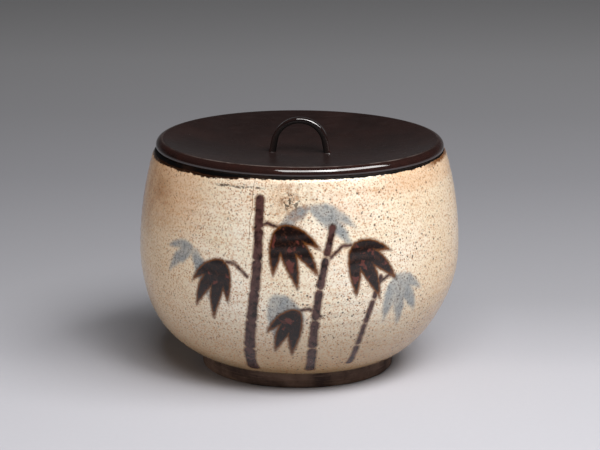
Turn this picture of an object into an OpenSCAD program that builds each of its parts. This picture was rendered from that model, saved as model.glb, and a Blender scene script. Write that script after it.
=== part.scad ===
// Tea-room water jar: a thrown stoneware vessel, glazed inside and out, under a scooped
// lacquered lid with a bow handle. Millimetres, +Z up, origin under the foot on the jar's axis.

/* [Jar] */
// Widest diameter, over the glaze
belly_d = 190; // [176:1:206]
// Height of the widest point above the table
belly_z = 72.5; // [68:0.5:78]
// Height of the rim, where the lid sits
rim_z = 132.5; // [125:0.5:145]
// Radius of the flank from the belly up to the rim
upper_r = 202; // [180:1:260]
// Radius of the flank from the belly down to the tuck
middle_r = 80; // [76:1:86]
// Height where the flank begins to tuck in towards the foot
tuck_z = 30; // [25:0.5:35]
// Radius of the tuck
tuck_r = 55; // [50:0.5:58]
// Thickness of the thrown wall
wall_t = 6; // [4.5:0.25:7.5]
// Thickness of the floor over the recess in the foot
floor_t = 7; // [5:0.25:9]
// Radius between the floor and the wall inside
inside_corner_r = 40; // [34:1:44]
// Rounding of the rim's outer edge
rim_round_out = 2; // [1:0.25:2.5]
// Rounding of the rim's inner edge
rim_round_in = 1.25; // [0.75:0.25:1.5]

/* [Foot ring] */
// Diameter of the foot at the table
foot_d = 114; // [106:1:122]
// How much the ring widens, on each side, up to the belly
foot_flare = 0.75; // [0:0.25:2]
// Width of the ring
foot_w = 8; // [5:0.5:12]
// Depth of the turned recess inside the ring
recess_h = 5.5; // [3:0.25:8]
// How much the recess narrows, on each side, up to its ceiling
recess_draft = 2; // [1:0.25:4]
// Chamfer at the table on both edges of the ring
foot_chamfer = 0.75; // [0.25:0.25:1.5]

/* [Glaze] */
// Thickness of the outer slip and glaze
glaze_t = 0.8; // [0.4:0.1:1.4]
// Thickness of the inner glaze
lining_t = 0.5; // [0.3:0.1:1]
// Height of the bare band outside, below the rim
bare_rim = 1.5; // [1.5:0.25:8]
// Height of the bare band inside, below the rim
bare_mouth = 4; // [2:0.25:10]
// Distance from the foot ring to the glaze's lower edge
bare_foot = 0.75; // [0.25:0.25:4]

/* [Lid] */
// How far the lid reaches past the flat of the rim
lid_reach = 1.5; // [0.5:0.25:3]
// Thickness of the lid's edge
edge_t = 4.75; // [4:0.25:6]
// Largest radius of the edge's upper rounding
edge_r = 4; // [1.5:0.25:5]
// Radius of the edge's lower rounding
edge_low_r = 0.25; // [0.25:0.25:1.5]
// Depth of the scoop in the lid's top, from its crest
scoop_h = 9; // [5:0.25:12]
// Thickness of the board under the scoop
board_t = 7; // [6:0.25:8]
// Clearance between the jar's mouth and the step under the lid
mouth_play = 1.25; // [0.5:0.25:2.5]
// Rounding of the step's lower edge
step_round = 1.5; // [0.5:0.25:2]
// Turn of the lid on the rim, clockwise from above, in degrees
lid_turn = 4.5; // [-45:0.5:45]

/* [Handle] */
// Width over the bow's feet, at the lid
bow_w = 36.5; // [30:0.5:46]
// Height of the bow above the middle of the lid
bow_h = 21; // [17:0.5:26]
// Lean of each leg from upright, in degrees
bow_splay = 10.5; // [4:0.5:16]
// Depth of the band, front to back
band_w = 5.5; // [4:0.25:8]
// Thickness of the band at the crown
crown_t = 3.2; // [2:0.1:3.6]
// Thickness of the band at its feet
heel_t = 3.8; // [2.6:0.1:5]
// Rounding of the band's outer edges
band_round = 1.1; // [0.5:0.1:1.5]
// Length of each leg let into the lid
leg_in = 4; // [2.5:0.25:4.5]
// Clearance for glue round each leg
glue_gap = 0.1; // [0.05:0.05:0.2]

/* [Hidden] */
// Longest chord used along a curve, and the most that it turns, in degrees
chord = 2.5;
turn = 10;
// Sections along the bow's arch
arch_steps = 32;
// Share of the band's thickness taken off its inner corners
corner_share = 0.12;
// Steps round each outer edge of the band
edge_steps = 4;
$fn = 180;

// Centres of the three tangent curves of the flank
belly_r = belly_d / 2;
upper_c = [belly_r - upper_r, belly_z];
middle_c = [belly_r - middle_r, belly_z];
tuck_a = -asin((belly_z - tuck_z) / middle_r);
tuck_c = middle_c + (middle_r - tuck_r) * [cos(tuck_a), sin(tuck_a)];

// Foot ring, where it meets the belly, and the glaze's lower edge
foot_r = foot_d / 2;
foot_top_r = foot_r + foot_flare;
foot_top_a = -acos((foot_top_r - tuck_c.x) / (tuck_r - glaze_t));
glaze_low_a = -acos((foot_top_r + bare_foot - tuck_c.x) / tuck_r);
glaze_top_a = asin((rim_z - bare_rim - belly_z) / upper_r);

// Rim: a flat land between two roundings
wall_out_r = upper_r - glaze_t;
wall_in_r = wall_out_r - wall_t;
round_out_c = rim_round_centre(wall_out_r - rim_round_out, rim_round_out);
round_in_c = rim_round_centre(wall_in_r + rim_round_in, rim_round_in);
round_out_a = angle_to(upper_c, round_out_c);
round_in_a = angle_to(upper_c, round_in_c);
mouth_r = upper_c.x + wall_in_r * cos(round_in_a);

// Inside: the floor runs into the wall through one large curve
floor_z = recess_h + floor_t;
inside_r = middle_r - glaze_t - wall_t;
inside_corner_z = floor_z + inside_corner_r;
inside_c = [middle_c.x + leg(inside_r - inside_corner_r, inside_corner_z - belly_z), inside_corner_z];
inside_a = angle_to(middle_c, inside_c);
lining_top_a = asin((rim_z - bare_mouth - belly_z) / wall_in_r);

// Lid: a rounded edge that runs into a spherical scoop, over a step that fits the mouth
lid_r = round_out_c.x + lid_reach;
edge_round = min(edge_r, edge_t - 2 * edge_low_r);
edge_c = [lid_r - edge_round, rim_z + edge_t - edge_round];
edge_low_c = [lid_r - edge_low_r, rim_z + edge_low_r];
scoop_z = rim_z + edge_t - scoop_h;
scoop_drop = edge_c.y - scoop_z;
scoop_r = (pow(edge_c.x, 2) + pow(scoop_drop, 2) - pow(edge_round, 2)) / (2 * (edge_round + scoop_drop));
scoop_c = [0, scoop_z + scoop_r];
edge_top_a = angle_to(edge_c, scoop_c);
under_r = scoop_r + board_t;
step_r = mouth_r - mouth_play;
step_c = [step_r - step_round, scoop_c.y - leg(under_r - step_round, step_r - step_round)];
step_a = angle_to(scoop_c, step_c);

// Bow: an arch on two straight legs that run on into the lid
arch_r = (bow_w / 2 - bow_h * tan(bow_splay)) / (1 / cos(bow_splay) - tan(bow_splay));
arch_z = scoop_z + bow_h - arch_r;
leg_l = (arch_z + arch_r * sin(bow_splay) - scoop_z) / cos(bow_splay) + leg_in;

// Second leg of a right triangle
function leg(hypotenuse, side) = sqrt(pow(hypotenuse, 2) - pow(side, 2));

// Direction from one point to another, in degrees
function angle_to(from, to) = atan2(to.y - from.y, to.x - from.x);

// Centre of a rounding at the rim, at a given distance from the centre of the upper flank
function rim_round_centre(distance, r) =
    [upper_c.x + leg(distance, rim_z - r - belly_z), rim_z - r];

// Points along an arc from angle a to angle b
function arc(c, r, a, b) =
    let (n = ceil(abs(b - a) * max(1 / turn, r * PI / 180 / chord)))
    [for (i = [0 : n]) let (t = a + (b - a) * i / n) c + r * [cos(t), sin(t)]];

// The points without the first one, to carry on from a curve that ends there
function rest(points) = [for (i = [1 : len(points) - 1]) points[i]];

function reversed(points) = [for (i = [len(points) - 1 : -1 : 0]) points[i]];

// Flank under the glaze, from its lower edge to its upper edge, at a depth below the glaze's face
function glazed_flank(depth) = concat(
    arc(tuck_c, tuck_r - depth, glaze_low_a, tuck_a),
    rest(arc(middle_c, middle_r - depth, tuck_a, 0)),
    rest(arc(upper_c, upper_r - depth, 0, glaze_top_a)));

// Inside of the jar, from the top of the lining to the floor, at a height above the clay
function lined_inside(height) = concat(
    arc(upper_c, wall_in_r - height, lining_top_a, 0),
    rest(arc(middle_c, inside_r - height, 0, inside_a)),
    rest(arc(inside_c, inside_corner_r - height, inside_a, -90)));

// Underside of the foot: the recess's ceiling, its drafted wall and the chamfered ring
function foot_outline() = [
    [0, recess_h],
    [foot_r - foot_w - recess_draft, recess_h],
    [foot_r - foot_w, foot_chamfer],
    [foot_r - foot_w + foot_chamfer, 0],
    [foot_r - foot_chamfer, 0],
    [foot_r, foot_chamfer]];

module turned(points) {
    rotate_extrude() polygon(points);
}

module stoneware_body() {
    color([0.25, 0.19, 0.16]) turned(concat(
        foot_outline(),
        arc(tuck_c, tuck_r - glaze_t, foot_top_a, glaze_low_a),
        rest(glazed_flank(glaze_t)),
        rest(arc(upper_c, wall_out_r, glaze_top_a, round_out_a)),
        rest(arc(round_out_c, rim_round_out, round_out_a, 90)),
        arc(round_in_c, rim_round_in, 90, 180 + round_in_a),
        rest(arc(upper_c, wall_in_r, round_in_a, lining_top_a)),
        rest(lined_inside(0)),
        [[0, floor_z]]));
}

// A coat with half-round edges, as glaze draws itself in where it ends
module outer_glaze() {
    low_c = tuck_c + (tuck_r - glaze_t / 2) * [cos(glaze_low_a), sin(glaze_low_a)];
    top_c = upper_c + (upper_r - glaze_t / 2) * [cos(glaze_top_a), sin(glaze_top_a)];
    color([0.87, 0.78, 0.64]) turned(concat(
        rest(glazed_flank(0)),
        rest(arc(top_c, glaze_t / 2, glaze_top_a, glaze_top_a + 180)),
        rest(reversed(glazed_flank(glaze_t))),
        rest(arc(low_c, glaze_t / 2, glaze_low_a + 180, glaze_low_a + 360))));
}

module inner_glaze() {
    top_c = upper_c + (wall_in_r - lining_t / 2) * [cos(lining_top_a), sin(lining_top_a)];
    color([0.78, 0.71, 0.60]) turned(concat(
        [[0, floor_z]],
        reversed(lined_inside(0)),
        rest(arc(top_c, lining_t / 2, lining_top_a, lining_top_a + 180)),
        rest(lined_inside(lining_t)),
        [[0, floor_z + lining_t]]));
}

module lid_board() {
    outline = concat(
        arc(scoop_c, under_r, -90, step_a),
        rest(arc(step_c, step_round, step_a, 0)),
        [[step_r, rim_z]],
        arc(edge_low_c, edge_low_r, -90, 0),
        arc(edge_c, edge_round, 0, edge_top_a),
        rest(arc(scoop_c, scoop_r, edge_top_a - 180, -90)));
    color([0.13, 0.09, 0.08]) difference() {
        turned(outline);
        for (side = [0, 1]) rotate([0, 0, -lid_turn]) mirror([side, 0, 0]) leg_mortise();
    }
}

// Section of the bow: a back with rounded edges outside, a flat face with eased corners inside.
// x is measured inwards from the back, y across the band
function band_section(t, w) = concat(
    [for (side = [-1, 1], i = [0 : edge_steps])
        let (k = 90 * (side < 0 ? i : edge_steps - i) / edge_steps)
        [band_round * (1 - sin(k)), side * (w / 2 - band_round * (1 - cos(k)))]],
    [[t * (1 - corner_share), w / 2],
     [t, w / 2 - t * corner_share],
     [t, t * corner_share - w / 2],
     [t * (1 - corner_share), -w / 2]]);

// Thickness of the band at an angle round the arch, 90 degrees being the crown
function band_t(a) = crown_t + (heel_t - crown_t) * pow((90 - a) / (90 - bow_splay), 2);

// A section set square to the band, with its back at p and its inward direction in degrees
function placed(section, p, a) =
    [for (s = section) [p.x + s.x * cos(a), s.y, p.y + s.x * sin(a)]];

// Back of the band at an angle round the arch, and at a length down its right-hand or left-hand leg
function arch_at(a) = [0, arch_z] + arch_r * [cos(a), sin(a)];
function right_leg_at(l) = arch_at(bow_splay) + l * [sin(bow_splay), -cos(bow_splay)];
function left_leg_at(l) = let (p = right_leg_at(l)) [-p.x, p.y];

module handle_bow() {
    heel = band_section(heel_t, band_w);
    arch = [for (i = [0 : arch_steps]) bow_splay + (180 - 2 * bow_splay) * i / arch_steps];
    rings = concat(
        [placed(heel, right_leg_at(leg_l), 180 + bow_splay)],
        [for (a = arch) placed(band_section(band_t(a), band_w), arch_at(a), a + 180)],
        [placed(heel, left_leg_at(leg_l), -bow_splay)]);
    n = len(heel);
    last = len(rings) - 1;
    sides = [for (i = [0 : last - 1], j = [0 : n - 1]) let (a = i * n + j, b = i * n + (j + 1) % n)
        each [[a, b, b + n], [a, b + n, a + n]]];
    ends = [for (j = [1 : n - 2]) each [[0, j + 1, j], [last * n, last * n + j, last * n + j + 1]]];
    color([0.12, 0.09, 0.08]) rotate([0, 0, -lid_turn])
        polyhedron([for (r = rings) each r], concat(sides, ends));
}

// The space for the right-hand leg: its own section grown by the glue gap
module leg_mortise() {
    p = right_leg_at(leg_l);
    above = leg_in + scoop_h;
    translate([p.x, 0, p.y]) rotate([0, -bow_splay, 0]) translate([glue_gap, 0, 0])
        linear_extrude(above) mirror([1, 0])
            polygon(band_section(heel_t + 2 * glue_gap, band_w + 2 * glue_gap));
}

stoneware_body();
outer_glaze();
inner_glaze();
lid_board();
handle_bow();
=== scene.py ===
import math

import bmesh
import bpy
import numpy as np
from mathutils import Matrix, Vector


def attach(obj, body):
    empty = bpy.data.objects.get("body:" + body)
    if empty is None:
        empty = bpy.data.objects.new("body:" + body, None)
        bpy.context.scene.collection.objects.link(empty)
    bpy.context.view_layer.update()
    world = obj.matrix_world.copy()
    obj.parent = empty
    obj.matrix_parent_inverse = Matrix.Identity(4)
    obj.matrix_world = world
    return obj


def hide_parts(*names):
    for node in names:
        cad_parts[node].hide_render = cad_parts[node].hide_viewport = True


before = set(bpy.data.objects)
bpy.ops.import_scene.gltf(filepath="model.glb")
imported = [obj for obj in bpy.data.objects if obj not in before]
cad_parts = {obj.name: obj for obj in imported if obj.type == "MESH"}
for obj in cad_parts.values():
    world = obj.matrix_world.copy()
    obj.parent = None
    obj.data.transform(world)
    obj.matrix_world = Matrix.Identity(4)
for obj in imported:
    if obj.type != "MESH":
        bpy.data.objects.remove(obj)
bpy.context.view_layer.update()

scene = bpy.context.scene
mm = 0.001
mergeDistance = 1e-6


# Small helpers for node trees, used by the shapes and by the finishes
def plug(tree, socket, value):
    if isinstance(value, bpy.types.NodeSocket):
        tree.links.new(value, socket)
    else:
        socket.default_value = value


def addNode(tree, kind, sockets=None, **settings):
    node = tree.nodes.new(kind)
    for name, value in settings.items():
        setattr(node, name, value)
    for key, value in (sockets or {}).items():
        plug(tree, node.inputs[key], value)
    return node


def calc(tree, operation, *values):
    return addNode(tree, "ShaderNodeMath", dict(enumerate(values)), operation=operation).outputs[0]


def times(tree, value, *others):
    for other in others:
        value = calc(tree, "MULTIPLY", value, other)
    return value


def vectorCalc(tree, operation, *values):
    node = addNode(tree, "ShaderNodeVectorMath", dict(enumerate(values)), operation=operation)
    return node.outputs["Value" if operation in ("LENGTH", "DOT_PRODUCT") else "Vector"]


def ease(tree, value, low, high, toLow=0.0, toHigh=1.0):
    sockets = {"Value": value, "From Min": low, "From Max": high, "To Min": toLow, "To Max": toHigh}
    return addNode(tree, "ShaderNodeMapRange", sockets, interpolation_type="SMOOTHSTEP").outputs[0]


def noise(tree, at, scale, detail=2.0, roughness=0.5, seed=0.0):
    sockets = {"Vector": at, "W": seed, "Scale": scale, "Detail": detail, "Roughness": roughness}
    return addNode(tree, "ShaderNodeTexNoise", sockets, noise_dimensions="4D").outputs[0]


def split(tree, vector):
    return addNode(tree, "ShaderNodeSeparateXYZ", {0: vector}).outputs


def join(tree, x, y, z):
    return addNode(tree, "ShaderNodeCombineXYZ", {0: x, 1: y, 2: z}).outputs[0]


def flatLength(tree, x, y):
    return vectorCalc(tree, "LENGTH", join(tree, x, y, 0.0))


# Points in millimetres, (distance from the axis, height), along an arc
def arc(centre, radius, start, end, spacing):
    steps = max(2, math.ceil(abs(math.radians(end - start)) * radius / spacing))
    angles = (math.radians(start + (end - start) * i / steps) for i in range(steps + 1))
    return [(centre[0] + radius * math.cos(a), centre[1] + radius * math.sin(a)) for a in angles]


def straight(start, end, spacing):
    steps = max(1, math.ceil(math.dist(start, end) / spacing))
    return [tuple(p + (q - p) * i / steps for p, q in zip(start, end)) for i in range(steps + 1)]


def chain(*runs):
    points = []
    for run in runs:
        points += [p for p in run if not points or math.dist(p, points[-1]) > 1e-6]
    return points


def angleTo(start, end):
    return math.degrees(math.atan2(end[1] - start[1], end[0] - start[0]))


def legOf(hypotenuse, side):
    return math.sqrt(hypotenuse ** 2 - side ** 2)


# Curves of the jar: the same three tangent arcs as the solids, in millimetres
jar = {
    "bellyRadius": 95.0,
    "bellyHeight": 72.5,
    "rimHeight": 132.5,
    "upperRadius": 202.0,
    "middleRadius": 80.0,
    "tuckHeight": 30.0,
    "tuckRadius": 55.0,
    "wall": 6.0,
    "floorHeight": 12.5,
    "insideCorner": 40.0,
    "rimRoundOut": 2.0,
    "rimRoundIn": 1.25,
    "footRadius": 57.0,
    "footFlare": 0.75,
    "footWidth": 8.0,
    "recessHeight": 5.5,
    "recessDraft": 2.0,
    "footChamfer": 0.75,
    "glaze": 0.8,
    "lining": 0.5,
    "bareRim": 1.5,
    "bareMouth": 4.0,
    "bareFoot": 0.75,
}
upperCentre = (jar["bellyRadius"] - jar["upperRadius"], jar["bellyHeight"])
middleCentre = (jar["bellyRadius"] - jar["middleRadius"], jar["bellyHeight"])
tuckAngle = -math.degrees(math.asin((jar["bellyHeight"] - jar["tuckHeight"]) / jar["middleRadius"]))
tuckShift = jar["middleRadius"] - jar["tuckRadius"]
tuckCentre = (middleCentre[0] + tuckShift * math.cos(math.radians(tuckAngle)),
              middleCentre[1] + tuckShift * math.sin(math.radians(tuckAngle)))
footTop = jar["footRadius"] + jar["footFlare"]
clayTuck = jar["tuckRadius"] - jar["glaze"]
footTopAngle = -math.degrees(math.acos((footTop - tuckCentre[0]) / clayTuck))
glazeLowAngle = -math.degrees(math.acos((footTop + jar["bareFoot"] - tuckCentre[0]) / jar["tuckRadius"]))
glazeTopHeight = jar["rimHeight"] - jar["bareRim"]
glazeTopAngle = math.degrees(math.asin((glazeTopHeight - jar["bellyHeight"]) / jar["upperRadius"]))
wallOut = jar["upperRadius"] - jar["glaze"]
wallIn = wallOut - jar["wall"]
insideRadius = jar["middleRadius"] - jar["glaze"] - jar["wall"]
insideCentreHeight = jar["floorHeight"] + jar["insideCorner"]
insideCentre = (middleCentre[0] + legOf(insideRadius - jar["insideCorner"], insideCentreHeight - jar["bellyHeight"]),
                insideCentreHeight)
insideAngle = angleTo(middleCentre, insideCentre)
liningTopAngle = math.degrees(math.asin((jar["rimHeight"] - jar["bareMouth"] - jar["bellyHeight"]) / wallIn))


def rimRoundCentre(distance, radius):
    height = jar["rimHeight"] - radius
    return (upperCentre[0] + legOf(distance, height - jar["bellyHeight"]), height)


roundOutCentre = rimRoundCentre(wallOut - jar["rimRoundOut"], jar["rimRoundOut"])
roundInCentre = rimRoundCentre(wallIn + jar["rimRoundIn"], jar["rimRoundIn"])
roundOutAngle = angleTo(upperCentre, roundOutCentre)
roundInAngle = angleTo(upperCentre, roundInCentre)


def flank(depth, spacing):
    return chain(arc(tuckCentre, jar["tuckRadius"] - depth, glazeLowAngle, tuckAngle, spacing),
                 arc(middleCentre, jar["middleRadius"] - depth, tuckAngle, 0, spacing),
                 arc(upperCentre, jar["upperRadius"] - depth, 0, glazeTopAngle, spacing))


def inside(height, spacing):
    return chain(arc(upperCentre, wallIn - height, liningTopAngle, 0, spacing),
                 arc(middleCentre, insideRadius - height, 0, insideAngle, spacing),
                 arc(insideCentre, jar["insideCorner"] - height, insideAngle, -90, spacing))


def onArc(centre, radius, angle):
    return (centre[0] + radius * math.cos(math.radians(angle)), centre[1] + radius * math.sin(math.radians(angle)))


# A new tree with one geometry to start from, named sizes and a finish
def newTree(name, start, sizes):
    tree = bpy.data.node_groups.new(name, "GeometryNodeTree")
    face = tree.interface
    face.new_socket(start, in_out="INPUT", socket_type="NodeSocketGeometry")
    for size, value in sizes.items():
        kind = "NodeSocketInt" if isinstance(value, int) else "NodeSocketFloat"
        face.new_socket(size, in_out="INPUT", socket_type=kind).default_value = value
    face.new_socket("Finish", in_out="INPUT", socket_type="NodeSocketMaterial")
    face.new_socket("Piece", in_out="OUTPUT", socket_type="NodeSocketGeometry")
    return tree, tree.nodes.new("NodeGroupInput").outputs


# Keeps fields of a curve for use after it has become a mesh
def keepFields(tree, curve, **fields):
    node = tree.nodes.new("GeometryNodeCaptureAttribute")
    for name in fields:
        node.capture_items.new("VECTOR", name)
    for socket, value in zip(node.inputs, (curve.outputs[0], *fields.values())):
        plug(tree, socket, value)
    return node.outputs


# The end of each tree: seams closed, one smooth mesh with its finish
def endTree(tree, shape, finish):
    merged = addNode(tree, "GeometryNodeMergeByDistance", {"Geometry": shape.outputs[0], "Distance": mergeDistance})
    smooth = addNode(tree, "GeometryNodeSetShadeSmooth", {"Geometry": merged.outputs[0]})
    whole = addNode(tree, "GeometryNodeRealizeInstances", {"Geometry": smooth.outputs[0]})
    finished = addNode(tree, "GeometryNodeSetMaterial", {"Geometry": whole.outputs[0], "Material": finish})
    plug(tree, tree.nodes.new("NodeGroupOutput").inputs[0], finished.outputs[0])
    return tree


# how far the clay leans at each share of its height, and the drum that the marks are laid out on
leanCurve = {"start": 0.45, "end": 0.7, "between": ((0.08, 0.4), (0.2, 0.05), (0.45, 0.62), (0.85, 0.72))}
drumRadius = 0.09


# Geometry Nodes tree that turns an outline round the jar's axis, as on the wheel.
# The turning marks only ever go inwards, so a piece stays inside its solid.
def makeWheelTree():
    tree, given = newTree("turnedOnTheWheel", "Outline", {
        "Turns": 360, "Front Focus": 0.0, "Wobble": 0.0, "Dents": 0.0, "Ridges": 0.0, "Ridge Pitch": 7 * mm,
        "Lean": 0.0, "Lean Height": 0.133, "Edge Waver": 0.0, "Edge Drop": 0.0, "Edge Height": 0.13, "Seed": 0.0})
    position = tree.nodes.new("GeometryNodeInputPosition").outputs[0]
    outline = addNode(tree, "GeometryNodeMeshToCurve", {"Mesh": given["Outline"]})
    outlineKept = keepFields(tree, outline, place=position)
    wheel = addNode(tree, "GeometryNodeCurvePrimitiveCircle", {"Resolution": given["Turns"], "Radius": 0.1})
    wheelKept = keepFields(tree, wheel, place=position)
    shell = addNode(tree, "GeometryNodeCurveToMesh", {"Curve": wheelKept[0], "Profile Curve": outlineKept[0]})

    # angle round the axis, drawn together towards the front, where the jar is seen
    wheelX, wheelY, _ = split(tree, wheelKept[1])
    angle = calc(tree, "ARCTAN2", wheelY, wheelX)
    pull = times(tree, given["Front Focus"], calc(tree, "COSINE", angle))
    angle = calc(tree, "SUBTRACT", angle, pull)
    radius, _, outlineHeight = split(tree, outlineKept[1])
    height = outlineHeight
    across, along = calc(tree, "COSINE", angle), calc(tree, "SINE", angle)
    onWheel = join(tree, times(tree, across, drumRadius), times(tree, along, drumRadius), height)

    # hand-thrown unevenness, finger ridges and small dents
    swell = times(tree, noise(tree, onWheel, 11.0, 1.0, seed=given["Seed"]), given["Wobble"])
    dents = times(tree, noise(tree, onWheel, 55.0, 2.0, seed=given["Seed"]), given["Dents"])
    drift = times(tree, noise(tree, onWheel, 20.0, 1.0, seed=given["Seed"]), 9.0)
    phase = calc(tree, "DIVIDE", times(tree, height, 2 * math.pi), given["Ridge Pitch"])
    wave = calc(tree, "MULTIPLY_ADD", calc(tree, "SINE", calc(tree, "ADD", phase, drift)), 0.5, 0.5)
    patches = ease(tree, noise(tree, onWheel, 16.0, 1.0, seed=3.0), 0.4, 0.65)
    ridges = times(tree, wave, patches, given["Ridges"])
    inwards = calc(tree, "ADD", calc(tree, "ADD", swell, dents), ridges)
    inwards = times(tree, inwards, ease(tree, radius, 0.0, 0.02))

    # the glaze's upper edge wanders up and down the flank, low on the left and high on the right
    edge = ease(tree, height, calc(tree, "SUBTRACT", given["Edge Height"], 16 * mm), given["Edge Height"])
    nibble = calc(tree, "SUBTRACT", noise(tree, onWheel, 150.0, 5.0, 0.75, seed=8.0), 0.55)
    tilt = calc(tree, "SUBTRACT", ease(tree, across, -0.3, -0.6), ease(tree, across, 0.75, 0.97, 0.0, 0.6))
    drop = times(tree, tilt, given["Edge Drop"])
    waver = calc(tree, "SUBTRACT", times(tree, nibble, given["Edge Waver"]), drop)
    waver = times(tree, waver, edge)
    height = calc(tree, "MULTIPLY_ADD", waver, math.cos(math.radians(glazeTopAngle)), height)
    radius = calc(tree, "MULTIPLY_ADD", waver, -math.sin(math.radians(glazeTopAngle)), radius)
    radius = calc(tree, "SUBTRACT", radius, inwards)

    # the soft clay leaned a little as it dried
    leaning = tree.nodes.new("ShaderNodeFloatCurve")
    curve = leaning.mapping.curves[0]
    for point, place in zip(curve.points, ((0.0, leanCurve["start"]), (1.0, leanCurve["end"]))):
        point.location = place
    for place in leanCurve["between"]:
        curve.points.new(*place)
    leaning.mapping.update()
    plug(tree, leaning.inputs["Value"], calc(tree, "DIVIDE", height, given["Lean Height"]))
    shift = times(tree, calc(tree, "SUBTRACT", leaning.outputs[0], leanCurve["end"]), given["Lean"])
    place = join(tree, calc(tree, "MULTIPLY_ADD", radius, across, shift),
                 times(tree, radius, along), height)

    turned = addNode(tree, "GeometryNodeSetPosition", {"Geometry": shell.outputs[0], "Position": place})
    marked = addNode(tree, "GeometryNodeStoreNamedAttribute",
                     {"Geometry": turned.outputs[0], "Name": "outlineHeight", "Value": outlineHeight},
                     data_type="FLOAT", domain="POINT")
    return endTree(tree, marked, given["Finish"])


# A polyline mesh in the XZ plane, for a node tree to work on
def outlineMesh(name, points, closed):
    mesh = bpy.data.meshes.new(name)
    edges = [(i, i + 1) for i in range(len(points) - 1)] + ([(len(points) - 1, 0)] if closed else [])
    mesh.from_pydata([(r * mm, 0.0, z * mm) for r, z in points], edges, [])
    return mesh


# Runs a tree on a mesh, keeps the result as a plain mesh and turns its faces outwards
def makePiece(name, mesh, tree, inputs):
    piece = bpy.data.objects.new(name, mesh)
    scene.collection.objects.link(piece)
    nodes = piece.modifiers.new("nodes", "NODES")
    nodes.node_group = tree
    for item in tree.interface.items_tree:
        if item.in_out == "INPUT" and item.name in inputs:
            nodes[item.identifier] = inputs[item.name]
    depsgraph = bpy.context.evaluated_depsgraph_get()
    result = bpy.data.meshes.new_from_object(piece.evaluated_get(depsgraph))
    piece.modifiers.remove(nodes)
    piece.data = result
    result.name = name
    work = bmesh.new()
    work.from_mesh(result)
    bmesh.ops.dissolve_degenerate(work, dist=1e-7, edges=work.edges[:])
    bmesh.ops.recalc_face_normals(work, faces=work.faces[:])
    for edge in work.edges:
        edge.smooth = edge.calc_face_angle(0.0) < math.radians(inputs["sharpAngle"])
    work.to_mesh(result)
    triangles = sum(len(f.verts) - 2 for f in work.faces)
    closed = all(e.is_manifold for e in work.edges)
    work.free()
    print(f"{name}: {triangles} triangles, closed {closed}")
    return piece


# Finishes. Colours are written as they are seen, 0 to 255, and turned to light values here
def tint(*seen):
    parts = [v / 255 for v in seen]
    return (*[p / 12.92 if p <= 0.04045 else ((p + 0.055) / 1.055) ** 2.4 for p in parts], 1.0)


def newFinish(name):
    finish = bpy.data.materials.new(name)
    finish.use_nodes = True
    tree = finish.node_tree
    shader = tree.nodes["Principled BSDF"]
    place = tree.nodes.new("ShaderNodeTexCoord").outputs["Object"]
    return finish, tree, shader, place


def blend(tree, amount, base, over, mode="MIX"):
    node = addNode(tree, "ShaderNodeMix", {0: amount, 6: base, 7: over}, data_type="RGBA", blend_type=mode)
    return node.outputs[2]


def named(tree, attribute):
    return addNode(tree, "ShaderNodeAttribute", attribute_name=attribute).outputs["Fac"]


def dots(tree, at, scale, small, large, chance):
    cells = addNode(tree, "ShaderNodeTexVoronoi", {"Vector": at, "Scale": scale})
    pick = split(tree, cells.outputs["Color"])
    size = ease(tree, pick[0], 0.0, 1.0, small, large)
    dot = ease(tree, calc(tree, "DIVIDE", cells.outputs["Distance"], size), 1.0, 0.55)
    return times(tree, dot, calc(tree, "LESS_THAN", pick[1], chance))


def bumped(tree, shader, height, look):
    sockets = {"Height": height, "Strength": look["bump"], "Distance": look["bumpDepth"]}
    plug(tree, shader.inputs["Normal"], addNode(tree, "ShaderNodeBump", sockets).outputs[0])


creamGlazeLook = {
    "cream": tint(243, 231, 206),
    "pale": tint(251, 243, 226),
    "tan": tint(216, 184, 140),
    "peach": tint(228, 194, 149),
    "blush": tint(222, 168, 124),
    "grain": tint(198, 138, 90),
    "stain": tint(150, 103, 64),
    # greyer, darker colour low down: partly grey clay, partly painted shade
    "footGreyShade": tint(185, 157, 118),
    "speckBrown": tint(156, 98, 56),
    "speckDark": tint(60, 38, 25),
    "speck": tint(58, 38, 27),
    "washGrain": tint(76, 80, 84),
    "edgeBrown": tint(44, 26, 16),
    "ironBlack": tint(24, 14, 12),
    "ironBrown": tint(64, 37, 26),
    "ironRed": tint(98, 50, 42),
    "ironAmber": tint(108, 64, 28),
    "culmBrown": tint(86, 58, 54),
    "washBlue": tint(148, 153, 155),
    "bump": 0.2,
    "bumpDepth": 0.25 * mm,
}
# marks on the front, in millimetres to the right of the axis and above the ground
glazeMarks = {
    "crackSide": -39.4,
    "crackLean": 0.1,
    "crackWander": 2.4,
    "crackHeights": (90.0, 104.0),
    "scuffHeight": 128.3,
    "scuffLeft": (-50.0, -44.0),
    "scuffRight": (-18.0, -24.0),
    "scarSide": -5.0,
    "scarHeight": 119.0,
    "scorchReach": 20.0,
    "pitReach": 7.0,
    "raggedEdge": (133.2, 133.6),
    "amberSide": (67.0, 80.0),
    "amberHeights": (130.6, 132.4),
    # painted shade in the crease above the foot, by height of the outline
    "footCreaseShade": (10.1, 8.9),
}


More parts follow.
